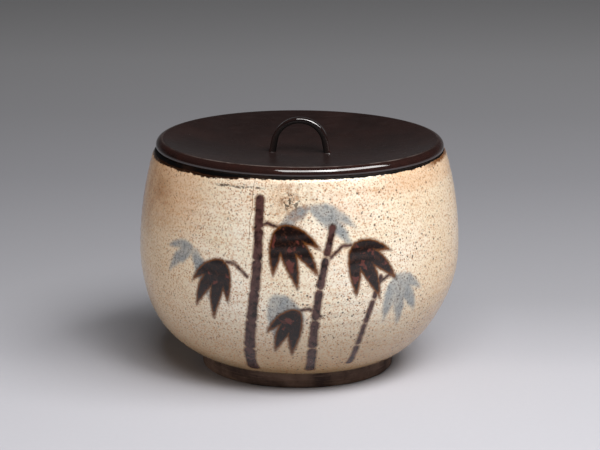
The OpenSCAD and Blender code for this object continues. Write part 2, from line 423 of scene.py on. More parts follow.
# cloudy slip, brushed on round the jar
def slipColour(tree, at, side, height):
    look = creamGlazeLook
    clouds = noise(tree, at, 26.0, 4.0, 0.6)
    brushed = noise(tree, vectorCalc(tree, "MULTIPLY", at, (1.0, 1.0, 7.0)), 60.0, 4.0, 0.6, seed=2.0)
    colour = blend(tree, ease(tree, clouds, 0.35, 0.7), look["cream"], look["pale"])
    colour = blend(tree, ease(tree, brushed, 0.48, 0.75, 0.0, 0.45), colour, look["tan"])

    # warm flashing under the rim and on the sides
    flash = times(tree, ease(tree, noise(tree, at, 42.0, 3.0, 0.6, seed=5.0), 0.45, 0.68),
                  ease(tree, height, 70.0, 122.0), ease(tree, side, 60.0, 76.0, 1.0, 0.4),
                  ease(tree, side, -50.0, 10.0, 0.15, 0.45))
    colour = blend(tree, flash, colour, look["blush"])
    shoulder = times(tree, ease(tree, side, 36.0, 56.0, 0.0, 0.46), ease(tree, side, 72.0, 84.0, 1.0, 0.8),
                     ease(tree, height, 117.0, 122.0))
    colour = blend(tree, shoulder, colour, look["blush"])
    rightSide = times(tree, ease(tree, side, 48.0, 93.0, 0.0, 0.4), ease(tree, height, 90.0, 50.0, 1.0, 1.9))
    sides = calc(tree, "MAXIMUM", rightSide, ease(tree, side, -36.0, -86.0, 0.0, 0.64))
    colour = blend(tree, sides, colour, look["peach"])

    # brown stain high on the left; greyer and darker low down, partly grey clay showing and partly painted shade on
    # the lower flank
    corner = times(tree, ease(tree, side, -40.0, -70.0), ease(tree, height, 84.0, 116.0, 0.0, 0.44))
    colour = blend(tree, corner, colour, look["blush"])
    stain = times(tree, ease(tree, noise(tree, at, 38.0, 4.0, 0.65, seed=9.0), 0.36, 0.66),
                  ease(tree, side, -68.0, -86.0), ease(tree, height, 70.0, 118.0, 0.1, 0.8))
    colour = blend(tree, stain, colour, look["stain"])
    low = times(tree, ease(tree, height, 62.0, 14.0), ease(tree, clouds, 0.2, 0.6, 0.65, 1.0))
    return blend(tree, low, colour, look["footGreyShade"])


# iron specks through the slip, which gather in places and thin out on the left
def ironSpecks(tree, at, side):
    grain = ease(tree, noise(tree, at, 850.0, 3.0, 0.65, seed=19.0), 0.47, 0.64)
    gather = ease(tree, noise(tree, at, 30.0, 3.0, 0.6, seed=4.0), 0.3, 0.65, 0.5, 1.0)
    fine = times(tree, dots(tree, at, 900.0, 0.3, 0.52, 0.5), gather)
    thinOut = ease(tree, side, -70.0, 20.0, 0.55, 1.0)
    medium = times(tree, dots(tree, at, 400.0, 0.19, 0.32, 0.65), gather, thinOut)
    large = dots(tree, at, 130.0, 0.05, 0.085, 0.5)
    return grain, fine, medium, large


def washCover(tree, at):
    soft = calc(tree, "MULTIPLY_ADD", noise(tree, at, 210.0, 4.0, 0.65, seed=1.0), 3.8, -1.9)
    washEdge = calc(tree, "ADD", named(tree, "washDistance"), soft)
    pools = ease(tree, noise(tree, at, 120.0, 3.0, seed=6.0), 0.25, 0.7, 0.62, 0.95)
    return times(tree, ease(tree, washEdge, 1.5, -1.8), pools)


# a fine crack, a scuff and a pitted, scorched scar below the rim
def frontMarks(tree, at, side, height, front, colour):
    look, marks = creamGlazeLook, glazeMarks
    line = calc(tree, "MULTIPLY_ADD", height, marks["crackLean"], marks["crackSide"])
    line = calc(tree, "MULTIPLY_ADD", noise(tree, at, 130.0, 2.0, seed=7.0), marks["crackWander"], line)
    gap = calc(tree, "ABSOLUTE", calc(tree, "SUBTRACT", side, line))
    crack = times(tree, ease(tree, gap, 0.34, 0.1), front, ease(tree, height, *marks["crackHeights"]))
    colour = blend(tree, times(tree, crack, 0.75), colour, look["stain"])

    bend = calc(tree, "MULTIPLY_ADD", noise(tree, at, 90.0, 4.0, 0.7, seed=11.0), 5.0, -marks["scuffHeight"])
    scuff = times(tree, ease(tree, calc(tree, "ABSOLUTE", calc(tree, "ADD", height, bend)), 0.9, 0.3),
                  ease(tree, side, *marks["scuffLeft"]), ease(tree, side, *marks["scuffRight"]),
                  ease(tree, noise(tree, at, 420.0, 3.0, 0.6, seed=21.0), 0.4, 0.56))

    scar = flatLength(tree, calc(tree, "SUBTRACT", side, marks["scarSide"]),
                      calc(tree, "SUBTRACT", height, marks["scarHeight"]))
    scorch = times(tree, ease(tree, scar, marks["scorchReach"], 3.0), front,
                   ease(tree, noise(tree, at, 240.0, 4.0, 0.7, seed=22.0), 0.42, 0.66, 0.0, 0.7))
    colour = blend(tree, scorch, colour, look["stain"])
    pits = times(tree, ease(tree, scar, marks["pitReach"], 3.0),
                 ease(tree, noise(tree, at, 430.0, 3.0, 0.7, seed=23.0), 0.5, 0.56))
    smudge = times(tree, calc(tree, "MAXIMUM", scuff, pits), front, 0.85)
    return blend(tree, smudge, colour, look["edgeBrown"]), crack


# dark ragged edge under the rim, lower on the left and amber on the right, and a line of painted shade above the
# foot, in the crease where the glaze meets the clay
def glazeEdges(tree, at, side, colour):
    look, marks = creamGlazeLook, glazeMarks
    outline = calc(tree, "DIVIDE", named(tree, "outlineHeight"), mm)
    ragged = calc(tree, "MULTIPLY_ADD", noise(tree, at, 340.0, 5.0, 0.75, seed=18.0), 5.0, outline)
    amber = times(tree, ease(tree, side, *marks["amberSide"]), ease(tree, ragged, *marks["amberHeights"]), 0.95)
    colour = blend(tree, amber, colour, look["ironAmber"])
    lowered = calc(tree, "ADD", ragged, ease(tree, side, -5.0, -55.0, 0.0, 1.5))
    colour = blend(tree, ease(tree, lowered, *marks["raggedEdge"]), colour, look["edgeBrown"])
    return blend(tree, ease(tree, outline, *marks["footCreaseShade"]), colour, look["edgeBrown"])


# brown culms and iron-black leaves, fired into the glaze with an amber edge
def bambooPaint(tree, at, colour):
    look = creamGlazeLook
    rough = calc(tree, "MULTIPLY_ADD", noise(tree, at, 480.0, 3.0, 0.6, seed=12.0), 1.6, -0.8)
    brownEdge = calc(tree, "ADD", named(tree, "brownDistance"), rough)
    ironEdge = calc(tree, "ADD", named(tree, "ironDistance"), rough)
    halo = ease(tree, calc(tree, "MINIMUM", brownEdge, ironEdge), 1.5, 0.1, 0.0, 0.7)
    colour = blend(tree, halo, colour, look["ironAmber"], "MULTIPLY")

    brown = ease(tree, brownEdge, 0.35, -0.35)
    mottle = ease(tree, noise(tree, at, 260.0, 4.0, 0.6, seed=13.0), 0.38, 0.68)
    colour = blend(tree, brown, colour, blend(tree, mottle, look["culmBrown"], look["ironBlack"]))

    iron = ease(tree, ironEdge, 0.3, -0.3)
    rusty = ease(tree, noise(tree, at, 420.0, 5.0, 0.7, seed=24.0), 0.46, 0.62, 0.0, 0.6)
    ironColour = blend(tree, rusty, look["ironBlack"], look["ironBrown"])
    ironColour = blend(tree, ease(tree, ironEdge, -1.3, -0.1), ironColour, look["ironAmber"])
    patch = times(tree, ease(tree, noise(tree, at, 150.0, 3.0, 0.55, seed=14.0), 0.54, 0.6),
                  ease(tree, ironEdge, -0.7, -1.6), 0.9)
    ironColour = blend(tree, patch, ironColour, look["ironRed"])
    return blend(tree, iron, colour, ironColour), calc(tree, "MAXIMUM", iron, brown)


def makeCreamGlaze():
    look = creamGlazeLook
    finish, tree, shader, at = newFinish("creamGlaze")
    x, y, z = split(tree, at)
    side, height = calc(tree, "DIVIDE", x, mm), calc(tree, "DIVIDE", z, mm)
    front = calc(tree, "LESS_THAN", y, 0.0)

    # slip, specks and the soft grey-blue wash, which lies under the darker specks
    colour = slipColour(tree, at, side, height)
    grain, fine, medium, large = ironSpecks(tree, at, side)
    colour = blend(tree, times(tree, grain, ease(tree, side, -60.0, 10.0, 0.68, 0.62)), colour, look["grain"])
    colour = blend(tree, times(tree, fine, 0.8), colour, look["speckBrown"])
    wash = washCover(tree, at)
    colour = blend(tree, wash, colour, look["washBlue"])
    colour = blend(tree, times(tree, wash, calc(tree, "MAXIMUM", fine, grain), 0.55), colour, look["washGrain"])
    colour = blend(tree, times(tree, medium, 0.95), colour, look["speckDark"])
    colour = blend(tree, times(tree, large, 0.85), colour, look["speck"])

    colour, crack = frontMarks(tree, at, side, height, front, colour)
    colour = glazeEdges(tree, at, side, colour)
    colour, painted = bambooPaint(tree, at, colour)
    plug(tree, shader.inputs["Base Color"], colour)

    specks = calc(tree, "MAXIMUM", medium, large)
    gloss = calc(tree, "MULTIPLY_ADD", noise(tree, at, 90.0, 4.0, 0.6, seed=15.0), 0.14, 0.1)
    for part, duller in ((specks, 0.12), (painted, 0.05)):
        gloss = calc(tree, "MULTIPLY_ADD", part, duller, gloss)
    plug(tree, shader.inputs["Roughness"], gloss)
    skin = times(tree, noise(tree, at, 900.0, 3.0, 0.55, seed=16.0), 0.22)
    skin = calc(tree, "MULTIPLY_ADD", noise(tree, at, 230.0, 2.0, seed=17.0), 0.8, skin)
    for part, raised in ((specks, -0.35), (crack, -0.4), (painted, 0.25)):
        skin = calc(tree, "MULTIPLY_ADD", part, raised, skin)
    bumped(tree, shader, skin, look)
    return finish


bareClayLook = {
    "clay": tint(126, 102, 88),
    "dark": tint(66, 52, 48),
    "light": tint(146, 120, 104),
    # painted shade: the rim's outer face in the gap under the lid
    "rimBlackShade": tint(5, 4, 4),
    "rimBrown": tint(30, 17, 11),
    "rimTop": tint(78, 59, 49),
    "rimTopDark": tint(44, 32, 27),
    "rimHeights": (122.0, 124.0),
    "rimOuter": (81.5, 82.8),
    "roughness": (0.78, 0.6),  # of the foot and of the rim
    "specular": 0.1,
    "bump": 0.7,
    "bumpDepth": 0.35 * mm,
}


def makeBareClay():
    look = bareClayLook
    finish, tree, shader, at = newFinish("bareClay")
    x, y, z = split(tree, at)
    height = calc(tree, "DIVIDE", z, mm)
    radius = calc(tree, "DIVIDE", flatLength(tree, x, y), mm)
    grain = noise(tree, at, 420.0, 4.0, 0.65)
    cloud = noise(tree, at, 60.0, 3.0, 0.6, seed=2.0)
    rings = noise(tree, vectorCalc(tree, "MULTIPLY", at, (1.0, 1.0, 26.0)), 60.0, 3.0, 0.6, seed=3.0)
    colour = blend(tree, ease(tree, cloud, 0.3, 0.7), look["dark"], look["clay"])
    colour = blend(tree, ease(tree, rings, 0.5, 0.72, 0.0, 0.55), colour, look["light"])
    colour = blend(tree, ease(tree, grain, 0.6, 0.75, 0.0, 0.6), colour, look["light"])
    colour = blend(tree, ease(tree, grain, 0.42, 0.3, 0.0, 0.7), colour, look["dark"])

    # the rim is brown on top; its outer face, a dark bare rim, is painted nearly black as shade of the gap under the
    # lid, with brown patches
    rim = ease(tree, height, *look["rimHeights"])
    _, _, facingUp = split(tree, tree.nodes.new("ShaderNodeNewGeometry").outputs["Normal"])
    shadedOuterFace = times(tree, ease(tree, radius, *look["rimOuter"]), ease(tree, facingUp, 0.92, 0.6))
    patches = ease(tree, noise(tree, at, 110.0, 3.0, seed=4.0), 0.45, 0.7)
    shadedOuterColour = blend(tree, patches, look["rimBlackShade"], look["rimBrown"])
    topColour = blend(tree, ease(tree, grain, 0.4, 0.62), look["rimTopDark"], look["rimTop"])
    colour = blend(tree, rim, colour, blend(tree, shadedOuterFace, topColour, shadedOuterColour))

    plug(tree, shader.inputs["Base Color"], colour)
    plug(tree, shader.inputs["Roughness"], ease(tree, rim, 0.0, 1.0, *look["roughness"]))
    shader.inputs["Specular IOR Level"].default_value = look["specular"]
    skin = calc(tree, "MULTIPLY_ADD", rings, 0.8, times(tree, grain, 0.5))
    bumped(tree, shader, skin, look)
    return finish


liningLook = {
    "grey": tint(186, 172, 146),
    "warm": tint(205, 184, 150),
    "pool": tint(150, 140, 118),
    "speck": tint(84, 62, 46),
    "bump": 0.45,
    "bumpDepth": 0.2 * mm,
}


def makeLiningGlaze():
    look = liningLook
    finish, tree, shader, at = newFinish("liningGlaze")
    height = calc(tree, "DIVIDE", split(tree, at)[2], mm)
    clouds = noise(tree, at, 30.0, 4.0, 0.6, seed=21.0)
    rings = noise(tree, vectorCalc(tree, "MULTIPLY", at, (1.0, 1.0, 9.0)), 40.0, 3.0, seed=22.0)
    colour = blend(tree, ease(tree, clouds, 0.35, 0.7), look["grey"], look["warm"])
    colour = blend(tree, ease(tree, rings, 0.5, 0.75, 0.0, 0.4), colour, look["pool"])
    colour = blend(tree, ease(tree, height, 26.0, 13.0, 0.0, 0.6), colour, look["pool"])
    specks = calc(tree, "MAXIMUM", dots(tree, at, 520.0, 0.15, 0.36, 0.6), dots(tree, at, 200.0, 0.1, 0.2, 0.35))
    colour = blend(tree, times(tree, specks, 0.7), colour, look["speck"])
    plug(tree, shader.inputs["Base Color"], colour)
    plug(tree, shader.inputs["Roughness"], calc(tree, "MULTIPLY_ADD", clouds, 0.2, 0.16))
    skin = calc(tree, "MULTIPLY_ADD", noise(tree, at, 260.0, 3.0, seed=23.0), 0.6, times(tree, specks, -0.3))
    bumped(tree, shader, skin, look)
    return finish


lacquerLook = {
    "black": tint(32, 22, 21),
    "brown": tint(41, 27, 25),
    "worn": tint(50, 29, 25),
    # painted highlight along the lid's crest
    "crestHighlight": tint(140, 126, 120),
    # painted shade: the handle's unpolished faces, nearly black
    "side": tint(9, 7, 7),
    "crest": 81.5 * mm,
    "crestLine": (0.9 * mm, 0.2 * mm),
    "sideRoughness": 0.45,
    "coat": 2.0,
    "bump": 0.25,
    "bumpDepth": 0.12 * mm,
}
# radii in metres between which the lacquer goes from dull to polished
lacquerWear = {
    "lidLacquer": {"wornIn": 0.0805, "wornOut": 0.0825, "dull": 0.24, "specular": 1.0},
    "handleLacquer": {"wornIn": 0.0155, "wornOut": 0.0195, "dull": 0.05, "specular": 0.12, "polish": "polish"},
}


# Where a polish attribute is given, only the faces that it marks are glossy, and the faces that it leaves out are
# painted nearly black as shade
def makeLacquer(name, wornIn, wornOut, dull, specular, polish=None):
    look = lacquerLook
    finish, tree, shader, at = newFinish(name)
    x, y, _ = split(tree, at)
    radius = flatLength(tree, x, y)
    clouds = noise(tree, at, 34.0, 4.0, 0.6, seed=31.0)
    brushed = noise(tree, vectorCalc(tree, "MULTIPLY", at, (1.0, 6.0, 6.0)), 90.0, 3.0, 0.55, seed=32.0)
    colour = blend(tree, ease(tree, clouds, 0.35, 0.7), look["black"], look["brown"])
    colour = blend(tree, ease(tree, brushed, 0.5, 0.75, 0.0, 0.35), colour, look["brown"])
    worn = times(tree, ease(tree, radius, wornIn, wornOut),
                 ease(tree, noise(tree, at, 120.0, 4.0, 0.6, seed=33.0), 0.4, 0.7, 0.25, 0.8))
    colour = blend(tree, worn, colour, look["worn"])

    # painted highlight: a pale line along the lid's crest, mostly at the front, standing in for the reflection there
    crestGap = calc(tree, "ABSOLUTE", calc(tree, "SUBTRACT", radius, look["crest"]))
    crestHighlight = times(tree, ease(tree, crestGap, *look["crestLine"]), ease(tree, y, -0.035, -0.075, 0.12, 0.7),
                   ease(tree, noise(tree, at, 70.0, 5.0, 0.7, seed=35.0), 0.36, 0.62, 0.15, 1.0))
    colour = blend(tree, crestHighlight, colour, look["crestHighlight"])

    haze = noise(tree, at, 160.0, 4.0, 0.65, seed=34.0)
    roughness = calc(tree, "MULTIPLY_ADD", haze, 0.08, ease(tree, radius, wornIn, wornOut, dull, 0.05))
    streaks = times(tree, ease(tree, brushed, 0.42, 0.68), ease(tree, radius, wornIn, wornOut, 0.1, 0.0))
    roughness = calc(tree, "ADD", roughness, streaks)
    shader.inputs["Specular IOR Level"].default_value = specular
    if polish:
        shineAndShade = named(tree, polish)
        colour = blend(tree, shineAndShade, look["side"], colour)
        roughness = addNode(tree, "ShaderNodeMix", {0: shineAndShade, 2: look["sideRoughness"], 3: roughness}).outputs[0]
        shader.inputs["Coat IOR"].default_value = look["coat"]
        plug(tree, shader.inputs["Coat Weight"], shineAndShade)
    plug(tree, shader.inputs["Base Color"], colour)
    plug(tree, shader.inputs["Roughness"], roughness)
    skin = calc(tree, "MULTIPLY_ADD", brushed, 0.25, times(tree, noise(tree, at, 300.0, 2.0, seed=35.0), 0.5))
    bumped(tree, shader, skin, look)
    return finish


creamGlaze = makeCreamGlaze()
bareClay = makeBareClay()
liningGlaze = makeLiningGlaze()
lidLacquer, handleLacquer = (makeLacquer(name, **wear) for name, wear in lacquerWear.items())
print("finishes made")

wheelTree = makeWheelTree()
# unevenness that the clay and both glazes share
thrown = {"Wobble": 0.32 * mm, "Dents": 0.18 * mm, "Ridges": 0.16 * mm, "Ridge Pitch": 6.8 * mm,
          "Lean": 2.6 * mm, "Seed": 1.7}

# Stoneware body: foot ring and recess, wall under the glaze, rim, inside
bodySettings = {"Turns": 320, "Front Focus": 0.3, "Finish": bareClay, "sharpAngle": 40,
                "fine": 0.6, "hidden": 4.0, "overlap": 2.0, **thrown}


def bodyOutline(fine, hidden, overlap):
    ring = jar["footRadius"] - jar["footWidth"]
    ceiling = ring - jar["recessDraft"]
    chamfer = jar["footChamfer"]
    footTopPoint = onArc(tuckCentre, clayTuck, footTopAngle)
    return chain(
        straight((0, jar["recessHeight"]), (ceiling, jar["recessHeight"]), 5.0),
        straight((ceiling, jar["recessHeight"]), (ring, chamfer), 1.2),
        straight((ring, chamfer), (ring + chamfer, 0), fine),
        straight((ring + chamfer, 0), (jar["footRadius"] - chamfer, 0), 2.0),
        straight((jar["footRadius"] - chamfer, 0), (jar["footRadius"], chamfer), fine),
        straight((jar["footRadius"], chamfer), footTopPoint, fine),
        arc(tuckCentre, clayTuck, footTopAngle, glazeLowAngle + overlap, fine),
        arc(tuckCentre, clayTuck, glazeLowAngle + overlap, tuckAngle, hidden),
        arc(middleCentre, jar["middleRadius"] - jar["glaze"], tuckAngle, 0, hidden),
        arc(upperCentre, wallOut, 0, glazeTopAngle - overlap, hidden),
        arc(upperCentre, wallOut, glazeTopAngle - overlap, roundOutAngle, fine),
        arc(roundOutCentre, jar["rimRoundOut"], roundOutAngle, 90, fine / 2),
        arc(roundInCentre, jar["rimRoundIn"], 90, 180 + roundInAngle, fine / 2),
        arc(upperCentre, wallIn, roundInAngle, liningTopAngle, fine),
        inside(0, hidden),
        straight((insideCentre[0], jar["floorHeight"]), (0, jar["floorHeight"]), 8.0))


bodyPoints = bodyOutline(*[bodySettings[key] for key in ("fine", "hidden", "overlap")])
jarBody = makePiece("jarBody", outlineMesh("bodyOutline", bodyPoints, False), wheelTree, bodySettings)

# Outer coat of slip and glaze, thinner towards its upper edge, with half-round ends
coatSettings = {"Turns": 480, "Front Focus": 0.45, "Finish": creamGlaze, "Edge Waver": 2.6 * mm,
                "Edge Drop": 1.1 * mm, "Edge Height": glazeTopHeight * mm, "sharpAngle": 80,
                "fine": 0.84, "hidden": 9.0, "thinned": 0.72, "thinFrom": 3.4, **thrown}


def coatOutline(fine, hidden, thinned, thinFrom):
    half, topHalf = jar["glaze"] / 2, (jar["glaze"] - thinned) / 2
    lowCentre = onArc(tuckCentre, jar["tuckRadius"] - half, glazeLowAngle)
    topCentre = onArc(upperCentre, jar["upperRadius"] - jar["glaze"] + topHalf, glazeTopAngle)
    thinAngle = math.degrees(math.asin((glazeTopHeight - thinFrom - upperCentre[1]) / jar["upperRadius"]))
    below = [point for point in flank(0, fine) if point[1] < glazeTopHeight - thinFrom - fine / 2]
    outer = []
    for point in below + arc(upperCentre, jar["upperRadius"], thinAngle, glazeTopAngle, fine / 3):
        share = max(0.0, 1 - (glazeTopHeight - point[1]) / thinFrom)
        scale = 1 - thinned * share ** 2 / jar["upperRadius"]
        outer.append(tuple(c + (p - c) * scale for p, c in zip(point, upperCentre)))
    return chain(outer,
                 arc(topCentre, topHalf, glazeTopAngle, glazeTopAngle + 180, topHalf),
                 flank(jar["glaze"], hidden)[::-1],
                 arc(lowCentre, half, glazeLowAngle + 180, glazeLowAngle + 360, half))[:-1]


coatPoints = coatOutline(*[coatSettings[key] for key in ("fine", "hidden", "thinned", "thinFrom")])
outerCoat = makePiece("outerCoat", outlineMesh("coatOutline", coatPoints, True), wheelTree, coatSettings)

# Inner lining
liningSettings = {"Turns": 240, "Finish": liningGlaze, "sharpAngle": 80, "fine": 2.0, "hidden": 6.0, **thrown}


def liningOutline(fine, hidden):
    half = jar["lining"] / 2
    topCentre = onArc(upperCentre, wallIn - half, liningTopAngle)
    floor = jar["floorHeight"]
    return chain(straight((0, floor), (insideCentre[0], floor), hidden), inside(0, hidden)[::-1],
                 arc(topCentre, half, liningTopAngle, liningTopAngle + 180, half), inside(jar["lining"], fine),
                 straight((insideCentre[0], floor + jar["lining"]), (0, floor + jar["lining"]), hidden))


liningPoints = liningOutline(liningSettings["fine"], liningSettings["hidden"])
innerLining = makePiece("innerLining", outlineMesh("liningOutline", liningPoints, False),
                        wheelTree, liningSettings)

# Lid board: a scooped top that rolls over into the edge, and a step that fits the mouth
lidShape = {
    "reach": 1.5,
    "edge": 4.75,
    "edgeRound": 4.0,
    "edgeLowRound": 0.25,
    "scoop": 9.0,
    "board": 7.0,
    "play": 1.25,
    "stepRound": 1.5,
}
lidSettings = {"Turns": 400, "Front Focus": 0.25, "Finish": lidLacquer, "Wobble": 0.12 * mm, "Seed": 5.0,
               "sharpAngle": 40}
lidRadius = roundOutCentre[0] + lidShape["reach"]
crest = jar["rimHeight"] + lidShape["edge"]
edgeCentre = (lidRadius - lidShape["edgeRound"], crest - lidShape["edgeRound"])
edgeLowRound = min(lidShape["edgeLowRound"], lidShape["edge"] - lidShape["edgeRound"])
edgeLowCentre = (lidRadius - edgeLowRound, jar["rimHeight"] + edgeLowRound)
scoopHeight = crest - lidShape["scoop"]
scoopDrop = edgeCentre[1] - scoopHeight
scoopRadius = ((edgeCentre[0] ** 2 + scoopDrop ** 2 - lidShape["edgeRound"] ** 2)
               / (2 * (lidShape["edgeRound"] + scoopDrop)))
scoopCentre = (0.0, scoopHeight + scoopRadius)
edgeTopAngle = angleTo(edgeCentre, scoopCentre)
underRadius = scoopRadius + lidShape["board"]
mouthRadius = upperCentre[0] + wallIn * math.cos(math.radians(roundInAngle))
stepRadius = mouthRadius - lidShape["play"]
stepInner = stepRadius - lidShape["stepRound"]
stepCentre = (stepInner, scoopCentre[1] - legOf(underRadius - lidShape["stepRound"], stepInner))
stepAngle = angleTo(scoopCentre, stepCentre)
lidOutline = chain(
    arc(scoopCentre, underRadius, -90, stepAngle, 4.0),
    arc(stepCentre, lidShape["stepRound"], stepAngle, 0, 0.3),
    straight((stepRadius, stepCentre[1]), (stepRadius, jar["rimHeight"]), 1.0),
    straight((stepRadius, jar["rimHeight"]), (edgeLowCentre[0], jar["rimHeight"]), 1.5),
    arc(edgeLowCentre, edgeLowRound, -90, 0, 0.2),
    arc(edgeCentre, lidShape["edgeRound"], 0, edgeTopAngle, 0.2),
    arc(scoopCentre, scoopRadius, edgeTopAngle - 180, -90, 1.6))
lidBoard = makePiece("lidBoard", outlineMesh("lidOutline", lidOutline, False), wheelTree, lidSettings)

# Bow handle: one band bent over, thicker towards its feet, let into the lid
bow = {
    "width": 36.5,
    "height": 21.0,
    "splay": 10.5,
    "band": 5.5,
    "crown": 3.2,
    "heel": 3.8,
    "edgeRound": 1.1,
    "faceRound": 0.4,
    "legIn": 4.0,
    "fillet": 0.3,
    "footLift": 0.3,
    "turn": 4.5,
}
splay = math.radians(bow["splay"])
archRadius = (bow["width"] / 2 - bow["height"] * math.tan(splay)) / (1 / math.cos(splay) - math.tan(splay))
archHeight = scoopHeight + bow["height"] - archRadius
legLength = (archHeight + archRadius * math.sin(splay) - scoopHeight) / math.cos(splay) + bow["legIn"]
bowSizes = {"Band": bow["band"] * mm, "Crown": bow["crown"] * mm, "Heel": bow["heel"] * mm,
            "Edge Round": bow["edgeRound"] * mm, "Face Round": bow["faceRound"] * mm, "Splay": splay,
            "Arch Height": archHeight * mm, "Foot Height": (scoopHeight + bow["footLift"]) * mm,
            "Fillet": bow["fillet"] * mm, "Turn": math.radians(-bow["turn"])}


def makeBowTree():
    tree, given = newTree("bentBand", "Path", bowSizes)
    position = tree.nodes.new("GeometryNodeInputPosition").outputs[0]
    tangent = tree.nodes.new("GeometryNodeInputTangent").outputs[0]
    path = addNode(tree, "GeometryNodeMeshToCurve", {"Mesh": given["Path"]})
    pathKept = keepFields(tree, path, place=position, tangent=tangent)
    ring = addNode(tree, "GeometryNodeCurvePrimitiveCircle", {"Resolution": 44, "Radius": 1.0})
    ringKept = keepFields(tree, ring, place=position)
    shell = addNode(tree, "GeometryNodeCurveToMesh",
                    {"Curve": pathKept[0], "Profile Curve": ringKept[0], "Fill Caps": True})

    # thickness from crown to heel, and the lacquer that gathers at the feet
    px, _, pz = split(tree, pathKept[1])
    lean = calc(tree, "ABSOLUTE", calc(tree, "ARCTAN2", px, calc(tree, "SUBTRACT", pz, given["Arch Height"])))
    legStart = calc(tree, "SUBTRACT", math.pi / 2, given["Splay"])
    spread = calc(tree, "MINIMUM", calc(tree, "DIVIDE", lean, legStart), 1.0)
    gain = calc(tree, "SUBTRACT", given["Heel"], given["Crown"])
    thick = calc(tree, "MULTIPLY_ADD", gain, calc(tree, "POWER", spread, 2.0), given["Crown"])
    foot = ease(tree, calc(tree, "SUBTRACT", pz, given["Foot Height"]), 1.6 * mm, -0.2 * mm)
    foot = times(tree, foot, given["Fillet"])
    half = calc(tree, "ADD", times(tree, given["Band"], 0.5), foot)

    # section: a back with rounded edges outside, a flat face with eased corners inside
    c, s, _ = split(tree, ringKept[1])
    isFace = calc(tree, "GREATER_THAN", c, 0.0)
    corner = addNode(tree, "ShaderNodeMix", {0: isFace, 2: given["Edge Round"], 3: given["Face Round"]}).outputs[0]
    inmost = calc(tree, "SUBTRACT", calc(tree, "MULTIPLY_ADD", foot, 2.0, thick), corner)
    middle = addNode(tree, "ShaderNodeMix", {0: isFace, 2: corner, 3: inmost}).outputs[0]
    reach = calc(tree, "SUBTRACT", calc(tree, "MULTIPLY_ADD", corner, c, middle), foot)
    flat = times(tree, calc(tree, "SIGN", s), calc(tree, "SUBTRACT", half, corner))
    across = calc(tree, "MULTIPLY_ADD", corner, s, flat)
    inward = vectorCalc(tree, "NORMALIZE", vectorCalc(tree, "CROSS_PRODUCT", pathKept[2], (0.0, 1.0, 0.0)))
    scaled = addNode(tree, "ShaderNodeVectorMath", {0: inward, "Scale": reach}, operation="SCALE").outputs[0]
    sideways = join(tree, 0.0, across, 0.0)
    place = vectorCalc(tree, "ADD", vectorCalc(tree, "ADD", pathKept[1], scaled), sideways)
    bent = addNode(tree, "GeometryNodeSetPosition", {"Geometry": shell.outputs[0], "Position": place})
    polish = ease(tree, c, 0.05, -0.3)
    marked = addNode(tree, "GeometryNodeStoreNamedAttribute",
                     {"Geometry": bent.outputs[0], "Name": "polish", "Value": polish},
                     data_type="FLOAT", domain="POINT")
    turned = addNode(tree, "GeometryNodeTransform",
                     {"Geometry": marked.outputs[0], "Rotation": join(tree, 0.0, 0.0, given["Turn"])})
    return endTree(tree, turned, given["Finish"])


rightTop = onArc((0, archHeight), archRadius, bow["splay"])
rightFoot = (rightTop[0] + legLength * math.sin(splay), rightTop[1] - legLength * math.cos(splay))
leftTop, leftFoot = (-rightTop[0], rightTop[1]), (-rightFoot[0], rightFoot[1])
bowPath = chain(straight(rightFoot, rightTop, 0.4),
                arc((0, archHeight), archRadius, bow["splay"], 180 - bow["splay"], 0.7),
                straight(leftTop, leftFoot, 0.4))
bowSettings = {**bowSizes, "Finish": handleLacquer, "sharpAngle": 60}
bowHandle = makePiece("bowHandle", outlineMesh("bowPath", bowPath, False), makeBowTree(), bowSettings)

# Painted bamboo: strokes in millimetres, (round the jar from the front, height)
culms = [
    {"from": (-37, 13), "to": (-24, 122), "bend": 5, "half": (3.5, 2.6), "joints": 6},
    {"from": (9, 13), "to": (20, 107), "bend": -4, "half": (2.9, 1.9), "joints": 5},
    {"from": (39, 17), "to": (49, 76), "bend": -3, "half": (2.0, 1.4), "joints": 4},
]
twigs = [
    [(-26, 104), (-19, 107), (-13, 105)],
    [(-30, 76), (-38, 83), (-43, 83)],
    [(18, 88), (25, 94), (30, 94)],
    [(13, 53), (6, 58), (1, 57)],
    [(48, 71), (54, 75), (58, 73)],
]
# how the brush goes: steps in a stroke, gap at a joint, waist between joints, half a twig,
# how a leaf curls and thins, the thinnest line, the lowest mark, and what counts as far from any stroke
brush = {"leafSteps": 30, "culmSteps": 20, "twigSteps": 12, "jointGap": 0.035, "waist": 0.82, "twig": 0.75,
         "curl": 16, "thinning": 0.25, "thinnest": 0.15, "lowest": 9.0, "far": 50.0}
# each spray: where it hangs, and its leaves as (direction in degrees, length, width)
ironSprays = [
    ((-12, 105), [(-12, 27, 7.5), (-38, 36, 9.5), (-66, 37, 10), (-98, 28, 8)]),
    ((-44, 83), [(196, 26, 7.5), (222, 35, 9.5), (250, 36, 9.5), (276, 24, 7)]),
    ((31, 94), [(4, 25, 7), (-24, 36, 9.5), (-52, 37, 10), (-84, 30, 8.5)]),
    ((0, 57), [(202, 24, 7), (230, 31, 9), (258, 30, 8.5)]),
]
washSprays = [
    ((6, 116), [(-8, 30, 9), (-28, 34, 10), (205, 26, 8)]),
    ((58, 73), [(-10, 24, 8), (-40, 32, 10), (-72, 34, 10), (-104, 28, 9)]),
    ((-66, 88), [(170, 20, 7), (205, 26, 9), (-60, 30, 9)]),
    ((-14, 66), [(-30, 26, 8), (-62, 32, 10), (-92, 28, 9)]),
]


